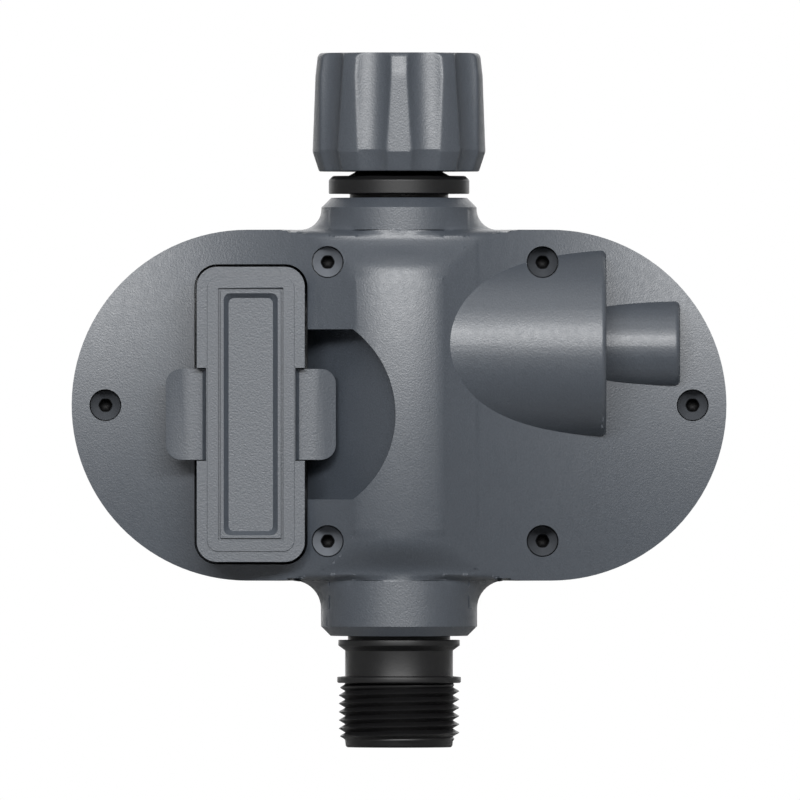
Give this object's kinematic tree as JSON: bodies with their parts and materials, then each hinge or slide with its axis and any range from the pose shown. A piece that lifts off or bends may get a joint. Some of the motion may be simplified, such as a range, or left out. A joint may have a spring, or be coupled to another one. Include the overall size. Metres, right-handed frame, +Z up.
{
  "type": "smart water timer",
  "caption": "Two-lobed garden water timer with a fluted tap nut on top, a threaded hose outlet below, a geared motor ball valve, a flow rotor, a slide-out battery drawer and a push button.",
  "frame": {"origin": "centre of the tap nut's mouth, on the water pipe's axis", "axes": "+Z up along the pipe towards the tap, +Y to the front with the push button, +X to the right seen from the rear, on the side of the motor bulge"},
  "size_m": [0.1434, 0.0776, 0.152],
  "materials": {
    "case_plastic": "fine-grained blue-grey moulded plastic",
    "black_nylon": "satin black nylon",
    "black_rubber": "matt black rubber",
    "white_plastic": "plain acetal",
    "steel": "plain stainless steel",
    "dark_steel": "blackened screw steel",
    "circuit_board": "green solder mask",
    "clear_plastic": "clear moulded acrylic",
    "cell_wrap": "plain shrink wrap"
  },
  "bodies": {
    "root": {"rear_housing": "case_plastic", "front_housing": "case_plastic", "housing_seal": "black_rubber", "housing_screws": "dark_steel", "valve_body": "black_nylon", "inlet_spigot": "black_nylon", "outlet_connector": "black_nylon", "nut_retaining_ring": "steel", "connector_o_rings": "black_rubber", "ball_seats": "white_plastic", "filter_washer": "black_rubber", "flow_straightener": "white_plastic", "rotor_frame": "white_plastic", "gearbox_case": "black_nylon", "gearbox_cover": "black_nylon", "layshaft_pin": "steel", "drive_motor": "steel", "limit_switches": "black_nylon", "battery_bay": "case_plastic", "bay_contacts": "steel", "main_board": "circuit_board", "radio_module": "steel", "board_components": "black_nylon", "button_switch": "black_nylon", "status_light": "clear_plastic", "light_pipe": "clear_plastic", "button_seal": "black_rubber", "flow_sensor": "circuit_board"},
    "nut": {"inlet_nut": "case_plastic"},
    "ball_valve": {"valve_ball": "steel", "valve_stem": "steel", "stem_o_rings": "black_rubber", "output_gear": "white_plastic", "position_cam": "black_nylon"},
    "gear_three": {"gear_three": "white_plastic"},
    "gear_two": {"gear_two": "white_plastic"},
    "gear_one": {"gear_one": "white_plastic"},
    "motor_rotor": {"motor_pinion": "steel"},
    "flow_meter": {"flow_rotor": "white_plastic", "rotor_magnet": "steel"},
    "battery_drawer": {"battery_tray": "black_nylon", "battery_cells": "cell_wrap", "tray_contacts": "steel", "battery_cover": "case_plastic", "cover_seal": "black_rubber"},
    "button": {"push_button": "case_plastic"}
  },
  "joints": [
    {"name": "nut_swivel", "type": "hinge", "parent": "root", "child": "nut", "pos_m": [0, 0, 0], "axis": [0, 0, 1], "continuous": true},
    {"name": "ball_turn", "type": "hinge", "parent": "root", "child": "ball_valve", "pos_m": [0.025, 0, -0.0636], "axis": [1, 0, 0], "range_deg": [0, 90]},
    {"name": "gear_three_turn", "type": "hinge", "parent": "root", "child": "gear_three", "pos_m": [0.025, 0.0126, -0.0636], "axis": [1, 0, 0], "range_deg": [-225, 0]},
    {"name": "gear_two_turn", "type": "hinge", "parent": "root", "child": "gear_two", "pos_m": [0.025, 0, -0.0636], "axis": [1, 0, 0], "range_deg": [0, 562.5]},
    {"name": "gear_one_turn", "type": "hinge", "parent": "root", "child": "gear_one", "pos_m": [0.025, 0.0126, -0.0636], "axis": [1, 0, 0], "range_deg": [-1406.25, 0]},
    {"name": "motor_turn", "type": "hinge", "parent": "root", "child": "motor_rotor", "pos_m": [0.025, 0, -0.0636], "axis": [1, 0, 0], "range_deg": [0, 3515.62]},
    {"name": "flow_spin", "type": "hinge", "parent": "root", "child": "flow_meter", "pos_m": [0, 0, -0.0891], "axis": [0, 0, 1], "continuous": true},
    {"name": "battery_slide", "type": "slide", "parent": "root", "child": "battery_drawer", "axis": [0, -1, 0], "range_m": [0, 0.062]},
    {"name": "button_press", "type": "slide", "parent": "root", "child": "button", "axis": [0, -1, 0], "range_m": [0, 0.001], "stiffness_N_per_m": 1500, "springref_m": -0.0004}
  ],
  "couplings": [
    {"joint": "gear_three_turn", "follows": "ball_turn", "ratio": -2.5},
    {"joint": "gear_two_turn", "follows": "ball_turn", "ratio": 6.25},
    {"joint": "gear_one_turn", "follows": "ball_turn", "ratio": -15.625},
    {"joint": "motor_turn", "follows": "ball_turn", "ratio": 39.062}
  ]
}
